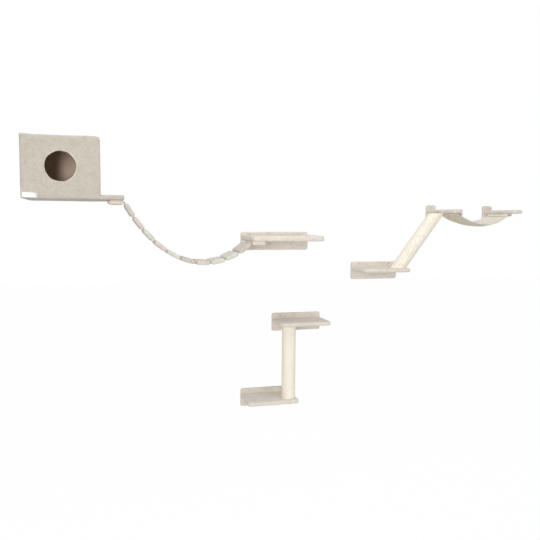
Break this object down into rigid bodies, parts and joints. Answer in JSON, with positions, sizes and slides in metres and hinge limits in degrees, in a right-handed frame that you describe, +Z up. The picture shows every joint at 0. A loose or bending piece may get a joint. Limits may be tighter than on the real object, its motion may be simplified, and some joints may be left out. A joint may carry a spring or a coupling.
{
  "type": "wall mounted cat tree",
  "caption": "Wall mounted cat tree: a cave with a round entrance, a hanging slat bridge, plush shelves on scratching posts and a cloth hammock.",
  "frame": {"origin": "the middle of the centre shelf's two wall holes, on the wall plane", "axes": "+X to the right along the wall, +Y into the wall, +Z up; everything stands out from the wall towards -Y"},
  "size_m": [2.818, 0.3735, 1.503],
  "materials": {
    "plush": "short plush",
    "cord": "braided polyester",
    "sisal": "twisted sisal rope",
    "cardboard": "wound paper tube",
    "sling_cloth": "short plush on cloth",
    "zinc_steel": "zinc plated",
    "grey_plastic": "moulded",
    "rim_plastic": "moulded",
    "label_tape": "woven, blank",
    "softwood": "turned, bare",
    "fibreboard": "bare"
  },
  "bodies": {
    "wall_units": {"centre_shelf_plate": "fibreboard", "centre_shelf_board": "fibreboard", "centre_shelf_cover": "plush", "ramp_step_plate": "fibreboard", "ramp_step_board": "fibreboard", "ramp_step_cover": "plush", "high_step_plate": "fibreboard", "high_step_board": "fibreboard", "high_step_cover": "plush", "low_step_plate": "fibreboard", "low_step_board": "fibreboard", "low_step_cover": "plush", "hammock_plates": "fibreboard", "hammock_arm_boards": "fibreboard", "hammock_arm_covers": "plush", "cave_side_panels": "fibreboard", "cave_back_panel": "fibreboard", "cave_roof_panel": "fibreboard", "cave_front_panel": "fibreboard", "cave_floor_board": "fibreboard", "cave_floor_cover": "plush", "cave_cover": "plush", "cave_hole_rim": "rim_plastic", "cave_label": "label_tape", "sling_rods": "zinc_steel", "sling_rod_caps": "grey_plastic", "sling_rod_eyes": "zinc_steel", "hammock_sling": "sling_cloth", "bridge_anchor_slats": "fibreboard", "bridge_anchor_covers": "plush", "bridge_cord_front": "cord", "bridge_cord_back": "cord", "upright_post_sisal": "sisal", "upright_post_tube": "cardboard", "sloping_post_sisal": "sisal", "sloping_post_tube": "cardboard", "post_plugs": "softwood", "post_studs": "zinc_steel", "post_tee_nuts": "zinc_steel", "chipboard_screws": "zinc_steel"},
    "slat_01": {"bridge_slat_01": "fibreboard", "bridge_slat_01_plush": "plush"},
    "slat_02": {"bridge_slat_02": "fibreboard", "bridge_slat_02_plush": "plush"},
    "slat_03": {"bridge_slat_03": "fibreboard", "bridge_slat_03_plush": "plush"},
    "slat_04": {"bridge_slat_04": "fibreboard", "bridge_slat_04_plush": "plush"},
    "slat_05": {"bridge_slat_05": "fibreboard", "bridge_slat_05_plush": "plush"},
    "slat_06": {"bridge_slat_06": "fibreboard", "bridge_slat_06_plush": "plush"},
    "slat_07": {"bridge_slat_07": "fibreboard", "bridge_slat_07_plush": "plush"},
    "slat_08": {"bridge_slat_08": "fibreboard", "bridge_slat_08_plush": "plush"},
    "slat_09": {"bridge_slat_09": "fibreboard", "bridge_slat_09_plush": "plush"},
    "slat_10": {"bridge_slat_10": "fibreboard", "bridge_slat_10_plush": "plush"}
  },
  "joints": [
    {"name": "slat_01_hinge", "type": "hinge", "parent": "wall_units", "child": "slat_01", "pos_m": [-0.86879, -0.212, 0.16157], "axis": [0, -1, 0], "range_deg": [-4.5, 4.5], "deforming": ["bridge_cord_front", "bridge_cord_back"]},
    {"name": "slat_02_hinge", "type": "hinge", "parent": "slat_01", "child": "slat_02", "pos_m": [-0.82582, -0.212, 0.0929], "axis": [0, -1, 0], "range_deg": [-4.7, 4.7]},
    {"name": "slat_03_hinge", "type": "hinge", "parent": "slat_02", "child": "slat_03", "pos_m": [-0.77733, -0.212, 0.02802], "axis": [0, -1, 0], "range_deg": [-5.1, 5.1]},
    {"name": "slat_04_hinge", "type": "hinge", "parent": "slat_03", "child": "slat_04", "pos_m": [-0.72225, -0.212, -0.03137], "axis": [0, -1, 0], "range_deg": [-5.1, 5.1]},
    {"name": "slat_05_hinge", "type": "hinge", "parent": "slat_04", "child": "slat_05", "pos_m": [-0.65956, -0.212, -0.08267], "axis": [0, -1, 0], "range_deg": [-5, 5]},
    {"name": "slat_06_hinge", "type": "hinge", "parent": "slat_05", "child": "slat_06", "pos_m": [-0.58885, -0.212, -0.12217], "axis": [0, -1, 0], "range_deg": [-4.9, 4.9]},
    {"name": "slat_07_hinge", "type": "hinge", "parent": "slat_06", "child": "slat_07", "pos_m": [-0.51123, -0.212, -0.14535], "axis": [0, -1, 0], "range_deg": [-5.1, 5.1]},
    {"name": "slat_08_hinge", "type": "hinge", "parent": "slat_07", "child": "slat_08", "pos_m": [-0.43029, -0.212, -0.14848], "axis": [0, -1, 0], "range_deg": [-5.1, 5.1]},
    {"name": "slat_09_hinge", "type": "hinge", "parent": "slat_08", "child": "slat_09", "pos_m": [-0.3512, -0.212, -0.131], "axis": [0, -1, 0], "range_deg": [-5.1, 5.1]},
    {"name": "slat_10_hinge", "type": "hinge", "parent": "slat_09", "child": "slat_10", "pos_m": [-0.27821, -0.212, -0.09588], "axis": [0, -1, 0], "range_deg": [-5.1, 5.1]}
  ],
  "couplings": [
    {"joint": "slat_02_hinge", "follows": "slat_01_hinge", "ratio": 1.0133},
    {"joint": "slat_03_hinge", "follows": "slat_01_hinge", "ratio": -1.1111},
    {"joint": "slat_04_hinge", "follows": "slat_01_hinge", "ratio": -1.1064},
    {"joint": "slat_05_hinge", "follows": "slat_01_hinge", "ratio": -1.0884},
    {"joint": "slat_06_hinge", "follows": "slat_01_hinge", "ratio": -1.0612},
    {"joint": "slat_07_hinge", "follows": "slat_01_hinge", "ratio": 1.1111},
    {"joint": "slat_08_hinge", "follows": "slat_01_hinge", "ratio": 1.1111},
    {"joint": "slat_09_hinge", "follows": "slat_01_hinge", "ratio": 1.1111},
    {"joint": "slat_10_hinge", "follows": "slat_01_hinge", "ratio": 1.1111}
  ]
}
